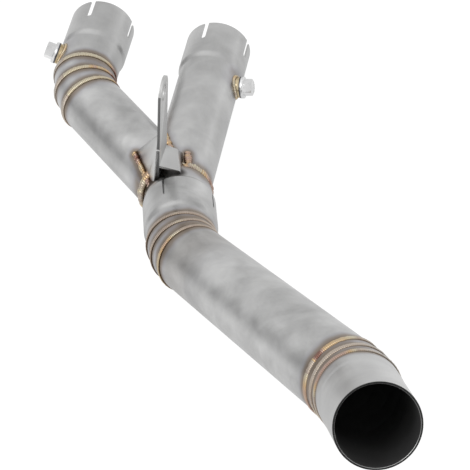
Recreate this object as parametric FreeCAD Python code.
"""Exhaust mid pipe in stainless tube: two slotted inlet sockets, a merge collector,
a slotted slip joint, a tapered main pipe and a plain outlet, with a folded hanger."""
import FreeCAD, Part
import math
import os

V = FreeCAD.Vector

# Tube stock, in millimetres
WALL = 1.5                   # wall of every tube
BRANCH_OD = 50.0             # both branch tubes
OUTLET_OD = 60.0             # outlet tube and the wide end of the main pipe
SPIGOT_OD = 53.0             # neck of the collector, inside the slip joint

# Expanded and slotted sockets
HEADER_CLEARANCE = 0.15      # round a header pipe of the branches' size, in its socket
INLET_DEPTH = 38.0           # expanded length of an inlet socket
SLIP_CLEARANCE = 0.2         # round the collector neck
SLIP_DEPTH = 34.0            # expanded length of the slip socket
EXPANSION_LENGTH = 5.0       # cone between an expanded socket and its tube
SLOT_COUNT = 4
INLET_SLOT_LENGTH = 20.0     # clamp slots, from the rim to the end of the round
INLET_SLOT_WIDTH = 4.0
INLET_SLOT_ANGLE = 21.0      # first slot, up from the right-hand side
LEFT_SLOT_TURN = -6.0        # the left inlet's slots, from the right one's
SLIP_SLOT_LENGTH = 21.0
SLIP_SLOT_WIDTH = 1.8
SLIP_SLOT_ANGLE = 27.0

# Run of the centre line, seen from the outlet
RIGHT_BRANCH_LENGTH = 179.3  # from its weld to its rim
RIGHT_SEAM = 4.2             # weld of the right branch, past the crossing of the centre lines
NECK_BEND_SET = 3.0          # from that weld back to where the neck turns off
LEFT_SEAM = 12.5             # weld of the left branch, past the crossing
LEFT_OFFSET = 2.0            # the left centre line crosses this far towards the outlet
BRANCH_SPREAD = 42.4         # angle between the two branches
LEFT_BRANCH_LENGTH = 119.0   # from its weld to the first mitre of its bend
LEFT_SEGMENT = 16.5          # each bend segment, along its centre line
LEFT_INLET_LENGTH = 70.4     # from the last mitre to the rim
NECK_ANGLE = 13.1            # turn of the collector neck towards the right
NECK_RISE = 9.5              # climb of the neck towards the outlet
NECK_LENGTH = 25.0           # from the bend in the collector to the slip socket's rim
NECK_INSERTION = 26.0        # neck inside the slip socket
NECK_TAPER = 9.0             # where the neck narrows to the branch
SLIP_TUBE_LENGTH = 50.9      # slip socket's rim to the first mitre
SLIP_SEGMENT = 11.6
SLIP_TUBE_OD = 53.4          # behind the slip socket, and the narrow end of the main pipe
MAIN_ANGLE = 41.7
MAIN_RISE = 12.7
MAIN_LENGTH = 206.2
MAIN_STRAIGHT = 8.0          # untapered at each end of the main pipe
OUTLET_SEGMENT = 13.5
OUTLET_ANGLE = 17.3
OUTLET_RISE = 29.3
OUTLET_LENGTH = 76.9
OUTLET_END_OD = 59.3         # sized down at the rim, to enter a 60 mm sleeve
OUTLET_END_LENGTH = 52.0

# Weld beads
BEAD_WIDTH = 3.8             # round every mitre
BEAD_HEIGHT = 1.0
SEAM_BEAD_WIDTH = 6.0        # round the collector's two stubs
SEAM_BEAD_HEIGHT = 1.8
CROTCH_BEAD_WIDTH = 6.0
CROTCH_START = 24.0          # from the crossing, along the middle of the two branches
BEAD_BEVEL = 0.8             # of a bead's height, off its edges
LEFT_WING_BEAD = 2.3         # radius of the bead along a wing's foot
RIGHT_WING_BEAD = 3.3
BOSS_BEAD = 1.4              # leg of the bead round a port

# Sensor ports on the outer side of each inlet
PORT_FROM_RIM = 53.0
RIGHT_PORT_TILT = 8.0        # up from level
LEFT_PORT_TILT = 19.0
BOSS_OD = 17.0
BOSS_BORE = 10.4
BOSS_HEIGHT = 2.8            # above the outside of the tube
WASHER_OD = 17.6
WASHER_THICKNESS = 1.2
PLUG_SHANK_OD = 10.2
PLUG_SHANK_LENGTH = 9.0
PLUG_FLANGE_OD = 18.0
PLUG_FLANGE_THICKNESS = 2.4
PLUG_HEX = 12.0              # across the flats
PLUG_HEX_HEIGHT = 6.8
PLUG_EDGE = 0.5              # bevel of the flange
PLUG_CROWN_HEIGHT = 0.9      # domed corners of the hexagon
PLUG_CROWN_SET = 1.3

# Hanger, folded from sheet, between the branches
SHEET = 2.0
TAB_INSET = 11.5             # near edge of the tab, in from a branch's half width both ways
TAB_TURN = 2.0               # the tab's plane, turned from the branch's line
TAB_LEAN = 2.1               # the tab's lean to the right
TAB_WIDTH = 25.5
TAB_FOOT = 13.0              # before it is cut to the branches
TAB_HOLE_HEIGHT = 98.0       # hole, above the plane of the branches
TAB_HOLE = 12.5
RELIEF_HEIGHT = 51.0         # bend relief in the tab's near edge
RELIEF_SIZE = 1.6
LEFT_WING_TURN = 39.0        # the left wing follows the left branch
LEFT_WING_LENGTH = 40.0
LEFT_WING_TOP = 66.0         # where its top edge meets the tab
LEFT_WING_FOOT = 10.0        # before it is cut to the branch
LEFT_WING_END = 18.5         # height of its far corner
LEFT_WING_SPLAY = 4.0        # its foot stands this far out of the upright
LEFT_WING_SET = 1.6          # the tab's near edge stands this far proud of the wing
RIGHT_WING_FOLD = 35.0       # height of the fold on the tab
RIGHT_WING_LOW = 30.6        # near corner, over the collector's neck
RIGHT_WING_REACH = 15.6      # near corner, sideways from the tab
RIGHT_WING_REACH_FAR = 8.8
RIGHT_WING_SET = 2.8         # near corner, back from the tab's near edge
FOOT_SLOPE = 60.0            # of the turned-down foot on the right branch
FOOT_LENGTH = 14.0           # before it is cut to the branch
FOOT_FLARE = 8.0             # the foot's far corner reaches this much further
RIGHT_BEAD_START = 16.0      # bead along the foot, from its near corner
RIGHT_BEAD_LENGTH = 13.0
RIGHT_BEAD_DROP = 5.0        # down the foot's slope

FAR = 400.0


def along(turn, rise):
    """Unit vector towards the outlet, turned to the right and climbing."""
    t, r = math.radians(turn), math.radians(rise)
    return V(math.sin(t) * math.cos(r), -math.cos(t) * math.cos(r), math.sin(r))


def blend(a, b, share):
    """Direction a turned towards direction b by a share of their angle."""
    angle = a.getAngle(b)
    return (a * math.sin((1 - share) * angle) + b * math.sin(share * angle)) * (1 / math.sin(angle))


def unit(v):
    return v * (1 / v.Length)


def placed(origin, axis, side):
    """Placement with local Z along the axis and local X as near to side as it can be."""
    z = unit(axis)
    x = unit(side - z * side.dot(z))
    return FreeCAD.Placement(origin, FreeCAD.Rotation(x, z.cross(x), z, "ZXY"))


def put(shape, place):
    shape.Placement = place
    return shape


def rod(start, axis, radius, length):
    return Part.makeCylinder(radius, length, start, axis)


def turned(profile, place):
    """Solid of revolution about local Z from (radius, height) points."""
    points = [V(r, 0, z) for r, z in profile]
    face = Part.Face(Part.makePolygon(points + points[:1]))
    return put(face.revolve(V(0, 0, 0), V(0, 0, 1), 360), place)


def beyond(point, normal):
    """Everything on the normal's side of a plane."""
    block = Part.makeBox(2 * FAR, 2 * FAR, 2 * FAR, V(-FAR, -FAR, 0))
    return put(block, FreeCAD.Placement(point, FreeCAD.Rotation(V(0, 0, 1), normal)))


def trimmed(shape, first, last):
    """Shape kept between two planes, each a point and a normal that points along the run."""
    return shape.cut(beyond(first[0], first[1] * -1)).cut(beyond(last[0], last[1]))


def mitred(first, last, radius):
    """Solid bar between two mitre planes, run straight from one centre to the next."""
    axis = unit(last[0] - first[0])
    length = (last[0] - first[0]).Length
    return trimmed(rod(first[0] - axis * radius, axis, radius, length + 2 * radius), first, last)


def tapered(first, last, radius, end_radius):
    """Solid bar between two mitre planes that widens between short straight ends."""
    axis = last[0] - first[0]
    run, extra = axis.Length, max(radius, end_radius)
    points = [(0, -extra), (radius, -extra), (radius, MAIN_STRAIGHT), (end_radius, run - MAIN_STRAIGHT),
              (end_radius, run + extra), (0, run + extra)]
    return trimmed(turned(points, placed(first[0], axis, V(0, 0, 1))), first, last)


def ring_bead(centre, ways, normal, radius, width=BEAD_WIDTH, height=BEAD_HEIGHT):
    """Weld bead round a tube: a band along the plane where two pieces meet, bevelled at its edges."""
    middle, half = (centre, normal), normal * (width / 2)
    spans = [(centre - half, normal), middle, (centre + half, normal)]
    halves = [trimmed(rod(centre - way * 2 * radius, way, radius + height, 4 * radius), spans[i], spans[i + 1])
              for i, way in enumerate(ways)]
    band = halves[0].fuse(halves[1]).removeSplitter()
    edges = [e for e in band.Edges if e.Length > 4 * radius and abs((e.CenterOfMass - centre).dot(normal)) > width / 4]
    return band.makeChamfer(BEAD_BEVEL * height, edges)


def straight_bead(start, end, radius):
    """Weld bead along a plate's edge, bevelled at its ends."""
    bead = rod(start, end - start, radius, (end - start).Length)
    return bead.makeChamfer(radius * BEAD_BEVEL, [e for e in bead.Edges if len(e.Vertexes) == 1])


def slots(length, width, radius, first_angle, place):
    """Clamp slots in from a rim, each with a round end."""
    cutters = []
    for i in range(SLOT_COUNT):
        straight = length - width / 2
        slot = Part.makeBox(radius + 5, width, straight + 5, V(5, -width / 2, -5))
        slot = slot.fuse(Part.makeCylinder(width / 2, radius + 5, V(5, 0, straight), V(1, 0, 0)))
        slot.rotate(V(0, 0, 0), V(0, 0, 1), first_angle + i * 360.0 / SLOT_COUNT)
        cutters.append(put(Part.makeCompound([slot]), place))
    return cutters


def socket_pair(bore, depth, tube_od, run, place):
    """Outer and inner solid of a tube with an expanded or sized end, from its rim at local zero."""
    wide, narrow = bore / 2 + WALL, tube_od / 2
    cone = depth + EXPANSION_LENGTH
    outer = turned([(0, 0), (wide, 0), (wide, depth), (narrow, cone), (narrow, run), (0, run)], place)
    inner = turned([(0, -5), (wide - WALL, -5), (wide - WALL, depth), (narrow - WALL, cone),
                    (narrow - WALL, run + 5), (0, run + 5)], place)
    return outer, inner


def panel(points):
    """Flat sheet panel, half its thickness to each side of the points' plane."""
    normal = unit((points[1] - points[0]).cross(points[2] - points[0]))
    shift = normal * (SHEET / 2)
    face = Part.Face(Part.makePolygon([p - shift for p in points + points[:1]]))
    return face.extrude(normal * SHEET)


def fold(start, end):
    """Rounded bend where two panels meet."""
    return rod(start, end - start, SHEET / 2, (end - start).Length)


# Centre line and the planes where the pieces meet
RIGHT_WAY = V(0, 1, 0)
NECK_WAY = along(NECK_ANGLE, NECK_RISE)
MAIN_WAY = along(MAIN_ANGLE, MAIN_RISE)
OUTLET_WAY = along(OUTLET_ANGLE, OUTLET_RISE)
SPREAD = math.radians(BRANCH_SPREAD)
LEFT_WAY = V(-math.sin(SPREAD), math.cos(SPREAD), 0)
UP = V(0, 0, 1)
SLIP_OD = SPIGOT_OD + 2 * SLIP_CLEARANCE + 2 * WALL
INLET_BORE = BRANCH_OD + 2 * HEADER_CLEARANCE

crossing = V(0, RIGHT_SEAM - NECK_BEND_SET, 0)
left_start = V(0, -LEFT_OFFSET, 0)
right_weld = V(0, RIGHT_SEAM, 0)
right_rim = right_weld + RIGHT_WAY * RIGHT_BRANCH_LENGTH
left_weld = left_start + LEFT_WAY * LEFT_SEAM
slip_rim = crossing + NECK_WAY * NECK_LENGTH


def bend_planes(start, way_in, way_out, segment):
    """Three mitre planes of a two-segment bend that starts at a point."""
    ways = [way_in, blend(way_in, way_out, 1 / 3), blend(way_in, way_out, 2 / 3), way_out]
    centres = [start, start + ways[1] * segment, start + (ways[1] + ways[2]) * segment]
    return [(c, unit(ways[i] + ways[i + 1])) for i, c in enumerate(centres)]


left_bend = bend_planes(left_weld + LEFT_WAY * LEFT_BRANCH_LENGTH, LEFT_WAY, RIGHT_WAY, LEFT_SEGMENT)
left_rim = left_bend[2][0] + RIGHT_WAY * LEFT_INLET_LENGTH
slip_bend = bend_planes(slip_rim + NECK_WAY * SLIP_TUBE_LENGTH, NECK_WAY, MAIN_WAY, SLIP_SEGMENT)
outlet_bend = bend_planes(slip_bend[2][0] + MAIN_WAY * MAIN_LENGTH, MAIN_WAY, OUTLET_WAY, OUTLET_SEGMENT)
outlet_rim = outlet_bend[2][0] + OUTLET_WAY * OUTLET_LENGTH

pieces = {}
bars = {}


def tube(name, outer, inner):
    """Keep a tube, and its filled outside for seating what touches it."""
    bars[name] = outer
    pieces[name] = outer.cut(inner)


def make_branches():
    """Both inlets, the left bend and the tubes down to the collector."""
    radius, bore = BRANCH_OD / 2, BRANCH_OD / 2 - WALL
    place = placed(right_rim, RIGHT_WAY * -1, V(1, 0, 0))
    outer, inner = socket_pair(INLET_BORE, INLET_DEPTH, BRANCH_OD, RIGHT_BRANCH_LENGTH, place)
    tube("right_branch_tube", outer, inner)
    place = placed(left_rim, RIGHT_WAY * -1, V(1, 0, 0))
    outer, inner = socket_pair(INLET_BORE, INLET_DEPTH, BRANCH_OD, LEFT_INLET_LENGTH + radius, place)
    edge = beyond(left_bend[2][0], left_bend[2][1] * -1)
    tube("left_inlet_tube", outer.cut(edge), inner)
    for i in (0, 1):
        first, last = left_bend[i], left_bend[i + 1]
        tube("left_bend_segment_%d" % (i + 1), mitred(first, last, radius), mitred(first, last, bore))
    first, last = (left_weld, LEFT_WAY), left_bend[0]
    tube("left_branch_tube", mitred(first, last, radius), mitred(first, last, bore))
    for name, rim, angle in (("right_branch_tube", right_rim, INLET_SLOT_ANGLE),
                             ("left_inlet_tube", left_rim, INLET_SLOT_ANGLE + LEFT_SLOT_TURN)):
        place = placed(rim, RIGHT_WAY * -1, V(1, 0, 0))
        cutters = slots(INLET_SLOT_LENGTH, INLET_SLOT_WIDTH, INLET_BORE / 2 + WALL, angle, place)
        pieces[name] = pieces[name].cut(cutters)


def make_collector():
    """Merge collector: a neck for the slip joint and a stub for each branch."""
    radius, bore = BRANCH_OD / 2, BRANCH_OD / 2 - WALL
    mitre = (crossing, unit(NECK_WAY * -1 + RIGHT_WAY))
    neck_end = slip_rim + NECK_WAY * NECK_INSERTION
    run = (neck_end - crossing).Length
    place = placed(neck_end, NECK_WAY * -1, V(1, 0, 0))
    solids = []
    for wide, narrow, extra in ((SPIGOT_OD / 2, radius, 0), (SPIGOT_OD / 2 - WALL, bore, 5)):
        neck = turned([(0, -extra), (wide, -extra), (wide, run - NECK_TAPER), (narrow, run),
                       (narrow, run + radius), (0, run + radius)], place).cut(beyond(*mitre))
        stub = rod(crossing - RIGHT_WAY * radius, RIGHT_WAY, narrow, radius + NECK_BEND_SET + extra)
        stub = stub.cut(beyond(mitre[0], mitre[1] * -1))
        left = rod(left_start, LEFT_WAY, narrow, LEFT_SEAM + extra)
        solids.append(neck.fuse([stub, left]).removeSplitter())
    # The left stub ends at its own weld, where it doesn't run into the right branch
    past = beyond(right_weld, RIGHT_WAY)
    tube("merge_collector", solids[0].cut(past), solids[1])
    left_bore = rod(left_start, LEFT_WAY, bore, LEFT_BRANCH_LENGTH)
    right_bore = rod(left_start - RIGHT_WAY * NECK_BEND_SET, RIGHT_WAY, bore, RIGHT_BRANCH_LENGTH)
    right_bar = rod(right_weld, RIGHT_WAY, radius, RIGHT_BRANCH_LENGTH)
    # The left branch is saddle-cut to the right one, and the right one is opened to it
    pieces["left_branch_tube"] = main_solid(pieces["left_branch_tube"].cut([right_bar, bars["merge_collector"]]))
    bars["left_branch_tube"] = main_solid(bars["left_branch_tube"].cut([right_bar, bars["merge_collector"]]))
    pieces["right_branch_tube"] = main_solid(pieces["right_branch_tube"].cut(left_bore))
    pieces["merge_collector"] = main_solid(pieces["merge_collector"].cut(right_bore))


def main_solid(shape):
    """Largest solid of a cut, without the offcuts."""
    return max(shape.Solids, key=lambda s: s.Volume)


def make_slip_and_main():
    """Slip socket, its bend, the tapered main pipe, the outlet bend and the outlet."""
    radius = SLIP_TUBE_OD / 2
    place = placed(slip_rim, NECK_WAY, V(1, 0, 0))
    bore = SPIGOT_OD + 2 * SLIP_CLEARANCE
    outer, inner = socket_pair(bore, SLIP_DEPTH, SLIP_TUBE_OD, SLIP_TUBE_LENGTH + radius, place)
    tube("slip_socket_tube", outer.cut(beyond(*slip_bend[0])), inner)
    cutters = slots(SLIP_SLOT_LENGTH, SLIP_SLOT_WIDTH, SLIP_OD / 2, SLIP_SLOT_ANGLE, place)
    pieces["slip_socket_tube"] = pieces["slip_socket_tube"].cut(cutters)
    for i in (0, 1):
        first, last = slip_bend[i], slip_bend[i + 1]
        tube("slip_bend_segment_%d" % (i + 1), mitred(first, last, radius), mitred(first, last, radius - WALL))
    first, last, wide = slip_bend[2], outlet_bend[0], OUTLET_OD / 2
    tube("main_pipe", tapered(first, last, radius, wide), tapered(first, last, radius - WALL, wide - WALL))
    for i in (0, 1):
        first, last = outlet_bend[i], outlet_bend[i + 1]
        tube("outlet_bend_segment_%d" % (i + 1), mitred(first, last, wide), mitred(first, last, wide - WALL))
    place = placed(outlet_rim, OUTLET_WAY * -1, V(1, 0, 0))
    bore = OUTLET_END_OD - 2 * WALL
    outer, inner = socket_pair(bore, OUTLET_END_LENGTH, OUTLET_OD, OUTLET_LENGTH + wide, place)
    tube("outlet_tube", outer.cut(beyond(outlet_bend[2][0], outlet_bend[2][1] * -1)), inner)


def make_ring_beads():
    """One bead round every mitre and butt joint."""
    runs = (("left_bend", left_bend, LEFT_WAY, RIGHT_WAY, BRANCH_OD / 2, ("left_branch_tube", "left_inlet_tube")),
            ("slip_bend", slip_bend, NECK_WAY, MAIN_WAY, SLIP_TUBE_OD / 2, ("slip_socket_tube", "main_pipe")),
            ("outlet_bend", outlet_bend, MAIN_WAY, OUTLET_WAY, OUTLET_OD / 2, ("main_pipe", "outlet_tube")))
    for name, planes, way_in, way_out, radius, ends in runs:
        middles = [unit(planes[i + 1][0] - planes[i][0]) for i in (0, 1)]
        ways = [way_in] + middles + [way_out]
        run = [ends[0], name + "_segment_1", name + "_segment_2", ends[1]]
        for i, (centre, normal) in enumerate(planes):
            bead = ring_bead(centre, ways[i:i + 2], normal, radius)
            near = [bars[run[i]], bars[run[i + 1]]]
            pieces["%s_weld_%d" % (name, i + 1)] = main_solid(bead.cut(near))
    around = [bars["merge_collector"], bars["right_branch_tube"], bars["left_branch_tube"]]
    seam = (BRANCH_OD / 2, SEAM_BEAD_WIDTH, SEAM_BEAD_HEIGHT)
    bead = ring_bead(right_weld, [RIGHT_WAY] * 2, RIGHT_WAY, *seam)
    pieces["right_seam_weld"] = main_solid(bead.cut(around))
    bead = ring_bead(left_weld, [LEFT_WAY] * 2, LEFT_WAY, *seam).cut(bead)
    pieces["left_seam_weld"] = main_solid(bead.cut(around))


def make_crotch_bead():
    """Bead in the crotch, where the left branch's saddle meets the right branch."""
    middle = unit(LEFT_WAY + RIGHT_WAY)
    normal = middle.cross(UP)
    half = normal * (CROTCH_BEAD_WIDTH / 2)
    start = left_start + middle * CROTCH_START
    slab = trimmed(rod(start, middle, BRANCH_OD, LEFT_BRANCH_LENGTH), (start - half, normal), (start + half, normal))
    wide = BRANCH_OD / 2 + SEAM_BEAD_HEIGHT
    shells = rod(left_start, LEFT_WAY, wide, LEFT_BRANCH_LENGTH)
    shells = shells.common(rod(right_weld, RIGHT_WAY, wide, RIGHT_BRANCH_LENGTH))
    near = [bars[n] for n in ("right_branch_tube", "left_branch_tube", "merge_collector")]
    near += [pieces["right_seam_weld"], pieces["left_seam_weld"]]
    pieces["crotch_weld"] = main_solid(shells.common(slab).cut(near))


def port_axis(side, tilt):
    t = math.radians(tilt)
    return V(side * math.cos(t), 0, math.sin(t))


def make_ports():
    """Threaded boss, sealing washer and hexagon plug on the outer side of each inlet."""
    for hand, side, rim, tilt, host in (("right", 1, right_rim, RIGHT_PORT_TILT, "right_branch_tube"),
                                        ("left", -1, left_rim, LEFT_PORT_TILT, "left_inlet_tube")):
        axis = port_axis(side, tilt)
        centre = rim - RIGHT_WAY * PORT_FROM_RIM
        place = placed(centre, axis, RIGHT_WAY)
        top = BRANCH_OD / 2 + BOSS_HEIGHT
        foot = BRANCH_OD / 2 - BOSS_OD / 2
        hole = rod(centre, axis, BOSS_BORE / 2, top + BOSS_HEIGHT)
        boss = rod(centre + axis * foot, axis, BOSS_OD / 2, top - foot).cut([bars[host], hole])
        pieces[hand + "_sensor_boss"] = main_solid(boss)
        pieces[host] = pieces[host].cut(hole)
        ring = rod(centre + axis * top, axis, WASHER_OD / 2, WASHER_THICKNESS).cut(hole)
        pieces[hand + "_sealing_washer"] = ring
        pieces[hand + "_port_plug"] = plug(place, top + WASHER_THICKNESS)
        crest, toe = BRANCH_OD / 2 + BOSS_BEAD, BRANCH_OD / 2 - BOSS_BEAD * 2
        bead = turned([(0, toe), (BOSS_OD / 2 + crest - toe, toe), (BOSS_OD / 2, crest), (0, crest)], place)
        boss_bar = rod(centre, axis, BOSS_OD / 2, top)
        pieces[hand + "_boss_weld"] = main_solid(bead.cut([bars[host], boss_bar]))


def plug(place, seat):
    """Hexagon plug with a flange; local Z is the port's axis."""
    shank = Part.makeCylinder(PLUG_SHANK_OD / 2, PLUG_SHANK_LENGTH, V(0, 0, seat - PLUG_SHANK_LENGTH))
    flange = Part.makeCylinder(PLUG_FLANGE_OD / 2, PLUG_FLANGE_THICKNESS, V(0, 0, seat))
    rim = [e for e in flange.Edges if e.BoundBox.ZMin > seat + PLUG_EDGE and e.BoundBox.ZLength < 1e-6]
    flange = flange.makeChamfer(PLUG_EDGE, rim)
    base = seat + PLUG_FLANGE_THICKNESS
    corner = PLUG_HEX / math.sqrt(3)
    turns = [math.radians(60 * i) for i in range(7)]
    points = [V(corner * math.cos(t), corner * math.sin(t), base) for t in turns]
    head = Part.Face(Part.makePolygon(points)).extrude(V(0, 0, PLUG_HEX_HEIGHT))
    crest = base + PLUG_HEX_HEIGHT
    wide = corner + PLUG_EDGE
    crown = turned([(0, base), (wide, base), (wide, crest - PLUG_CROWN_HEIGHT),
                    (corner - PLUG_CROWN_SET, crest), (0, crest)], FreeCAD.Placement())
    return put(shank.fuse([flange, head.common(crown)]).removeSplitter(), place)


def hanger_frame():
    """Near edge of the tab at the branches' plane, and the tab's three directions."""
    t, lean = math.radians(TAB_TURN), math.radians(TAB_LEAN)
    across = V(math.sin(t), math.cos(t), 0)
    level = V(math.cos(t), -math.sin(t), 0)
    rise = UP * math.cos(lean) + level * math.sin(lean)
    in_from_side = TAB_INSET - BRANCH_OD / 2
    return V(in_from_side, in_from_side, 0), across, across.cross(rise), rise


def wing_corners():
    """Corners of the left wing and of the right wing, on their middle planes."""
    near, across, outward, rise = hanger_frame()

    def on_tab(s, z):
        return near + across * s + rise * z

    w = math.radians(LEFT_WING_TURN)
    reach = V(-math.sin(w), math.cos(w), 0)
    out = reach.cross(UP) * -1
    top = on_tab(LEFT_WING_SET, LEFT_WING_TOP)
    end = V(top.x, top.y, LEFT_WING_END) + reach * LEFT_WING_LENGTH
    foot = on_tab(LEFT_WING_SET, LEFT_WING_FOOT) + out * LEFT_WING_SPLAY
    left = [foot, top, end, end + (foot - top) * 0.3]
    a, b = on_tab(0, RIGHT_WING_FOLD), on_tab(TAB_WIDTH, RIGHT_WING_FOLD)
    slope = outward * RIGHT_WING_REACH - rise * (RIGHT_WING_FOLD - RIGHT_WING_LOW)
    d = a + across * RIGHT_WING_SET + slope
    c = b + slope * (RIGHT_WING_REACH_FAR / RIGHT_WING_REACH)
    return left, [a, d, c, b]


def make_hanger():
    """Folded hanger: a tall tab with a round hole, and a wing down to each branch."""
    near, across, outward, rise = hanger_frame()

    def on_tab(s, z):
        return near + across * s + rise * z

    tab = panel([on_tab(0, TAB_FOOT), on_tab(TAB_WIDTH, TAB_FOOT), on_tab(TAB_WIDTH, TAB_HOLE_HEIGHT),
                 on_tab(0, TAB_HOLE_HEIGHT)])
    centre = on_tab(TAB_WIDTH / 2, TAB_HOLE_HEIGHT)
    disc = rod(centre - outward * (SHEET / 2), outward, TAB_WIDTH / 2, SHEET)
    hole = rod(centre - outward * SHEET, outward, TAB_HOLE / 2, 2 * SHEET)
    relief = rod(on_tab(0, RELIEF_HEIGHT) - outward * SHEET, outward, RELIEF_SIZE / 2, 2 * SHEET)
    left, right = wing_corners()
    a, d, c, b = right
    edge = unit(c - d)
    slope = math.radians(FOOT_SLOPE)
    down = (outward * math.cos(slope) - rise * math.sin(slope)) * FOOT_LENGTH
    foot = panel([d, d + down, c + down + edge * FOOT_FLARE, c])
    parts = [disc, panel(left), fold(left[0], left[1]), panel(right), fold(a, b), foot, fold(d, c)]
    seats = [bars[n] for n in ("right_branch_tube", "left_branch_tube", "merge_collector", "slip_socket_tube")]
    seats += [pieces[n] for n in ("right_seam_weld", "left_seam_weld", "crotch_weld")]
    pieces["hanger_bracket"] = main_solid(tab.fuse(parts).cut([hole, relief] + seats))
    return centre, outward


def make_hanger_beads():
    """Beads along the wings' feet."""
    seats = [bars[n] for n in ("right_branch_tube", "left_branch_tube", "merge_collector", "slip_socket_tube")]
    seats += [pieces[n] for n in ("right_seam_weld", "left_seam_weld", "hanger_bracket", "crotch_weld")]
    near, across, outward, rise = hanger_frame()
    left, right = wing_corners()
    foot, top, end = left[:3]
    out = unit((top - foot).cross(end - foot))
    out = out if out.x < 0 else out * -1
    lift = foot + (top - foot) * 0.12
    tip = end + (lift - end) * 0.08
    bead = straight_bead(on_left(lift + out * SHEET), on_left(tip + out * SHEET), LEFT_WING_BEAD)
    pieces["left_wing_weld"] = main_solid(bead.cut(seats))
    a, d, c, b = right
    edge = unit(c - d)
    slope = math.radians(FOOT_SLOPE)
    toe = d + outward * (math.cos(slope) * RIGHT_BEAD_DROP + SHEET) + edge * RIGHT_BEAD_START
    bead = straight_bead(on_right(toe), on_right(toe + edge * RIGHT_BEAD_LENGTH), RIGHT_WING_BEAD)
    pieces["right_wing_weld"] = main_solid(bead.cut(seats))


def on_left(point):
    """Point dropped on to the outside of the left branch."""
    radial = (point - left_start) - LEFT_WAY * (point - left_start).dot(LEFT_WAY)
    out = math.hypot(radial.x, radial.y)
    return V(point.x, point.y, math.sqrt(max(0.0, (BRANCH_OD / 2) ** 2 - out ** 2)))


def on_right(point):
    """Point dropped on to the outside of the right branch."""
    return V(point.x, point.y, math.sqrt(max(0.0, (BRANCH_OD / 2) ** 2 - point.x ** 2)))


def lowest(centre, axis, radius, roll):
    """Lowest height of a rim after the whole part rolls about the branch's line."""
    turn = FreeCAD.Rotation(V(0, 1, 0), roll)
    c, n = turn.multVec(centre), turn.multVec(axis)
    return c.z - radius * math.sqrt(max(0.0, 1 - n.z ** 2))


def resting_roll():
    """Roll at which the outlet's end and the slip socket's rim touch one floor."""
    bead = OUTLET_OD / 2 + BEAD_HEIGHT
    ends = [(outlet_rim, OUTLET_WAY, OUTLET_END_OD / 2)] + [(c, n, bead) for c, n in outlet_bend]
    low, high = 0.0, 60.0
    for _ in range(60):
        roll = (low + high) / 2
        gap = min(lowest(*end, roll) for end in ends) - lowest(slip_rim, NECK_WAY, SLIP_OD / 2, roll)
        low, high = (roll, high) if gap > 0 else (low, roll)
    return (low + high) / 2


def lay_down():
    """Roll every piece on to the floor and centre the whole on the origin."""
    roll = resting_roll()
    turn = FreeCAD.Placement(V(0, 0, 0), FreeCAD.Rotation(V(0, 1, 0), roll))
    whole = Part.makeCompound(list(pieces.values()))
    whole.Placement = turn
    box = whole.optimalBoundingBox(False, False)
    shift = V(-(box.XMin + box.XMax) / 2, -(box.YMin + box.YMax) / 2, -box.ZMin)
    return FreeCAD.Placement(shift, FreeCAD.Rotation(V(0, 1, 0), roll)), roll


def report(name, point, way, place):
    p, a = place.multVec(point), place.Rotation.multVec(unit(way))
    print("%s at %.4f %.4f %.4f axis %.6f %.6f %.6f" % (name, p.x, p.y, p.z, a.x, a.y, a.z))


def main():
    os.makedirs("parts", exist_ok=True)
    make_branches()
    make_collector()
    make_slip_and_main()
    make_ring_beads()
    make_crotch_bead()
    make_ports()
    hole_centre, outward = make_hanger()
    make_hanger_beads()
    place, roll = lay_down()
    print("roll %.3f" % roll)
    for name, point, way in (("right_inlet", right_rim, RIGHT_WAY), ("left_inlet", left_rim, RIGHT_WAY),
                             ("outlet", outlet_rim, OUTLET_WAY), ("hanger_hole", hole_centre, outward),
                             ("slip_rim", slip_rim, NECK_WAY), ("crossing", V(0, 0, 0), UP)):
        report(name, point, way, place)
    for name, shape in pieces.items():
        solid = shape.copy()
        solid.Placement = place.multiply(shape.Placement)
        if not solid.isValid():
            print("not valid:", name)
        print(name, len(solid.Solids), "volume %.1f" % solid.Volume)
        solid.exportStep("parts/%s.step" % name)


main()
